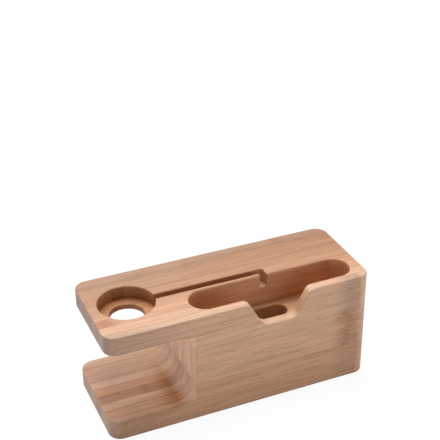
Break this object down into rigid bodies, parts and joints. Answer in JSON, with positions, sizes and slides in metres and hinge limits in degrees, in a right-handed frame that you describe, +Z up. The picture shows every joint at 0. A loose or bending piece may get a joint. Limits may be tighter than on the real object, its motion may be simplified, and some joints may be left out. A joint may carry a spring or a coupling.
{
  "type": "charging station organizer",
  "caption": "Laminated bamboo desk stand with a round charger pocket on an arm, a shelf under it, and an upright phone slot with a thumb notch.",
  "frame": {"origin": "centre of the footprint, on the surface that the block stands on", "axes": "+X along the length, from the arm's free end to the phone slot's end; +Y from the front face to the rear face; +Z up"},
  "size_m": [0.141, 0.054, 0.06],
  "materials": {
    "bamboo_pale": "pale carbonised bamboo strip, finely sanded, clear matte oil",
    "bamboo_honey": "honey bamboo strip, finely sanded, clear matte oil",
    "bamboo_brown": "darker brown bamboo strip, finely sanded, clear matte oil"
  },
  "bodies": {
    "root": {"base_strip_1": "bamboo_pale", "base_strip_2": "bamboo_honey", "base_strip_3": "bamboo_pale", "base_strip_4": "bamboo_brown", "base_strip_5": "bamboo_honey", "base_strip_6": "bamboo_pale", "base_strip_7": "bamboo_honey", "base_strip_8": "bamboo_honey", "base_strip_9": "bamboo_honey", "middle_strip_1": "bamboo_pale", "middle_strip_2": "bamboo_pale", "middle_strip_3": "bamboo_honey", "middle_strip_4": "bamboo_pale", "middle_strip_5": "bamboo_honey", "middle_strip_6": "bamboo_pale", "middle_strip_7": "bamboo_honey", "middle_strip_8": "bamboo_pale", "middle_strip_9": "bamboo_honey", "top_strip_1": "bamboo_pale", "top_strip_2": "bamboo_pale", "top_strip_3": "bamboo_pale", "top_strip_4": "bamboo_pale", "top_strip_5": "bamboo_honey", "top_strip_6": "bamboo_honey", "top_strip_7": "bamboo_honey", "top_strip_8": "bamboo_honey", "top_strip_9": "bamboo_honey"}
  },
  "joints": []
}
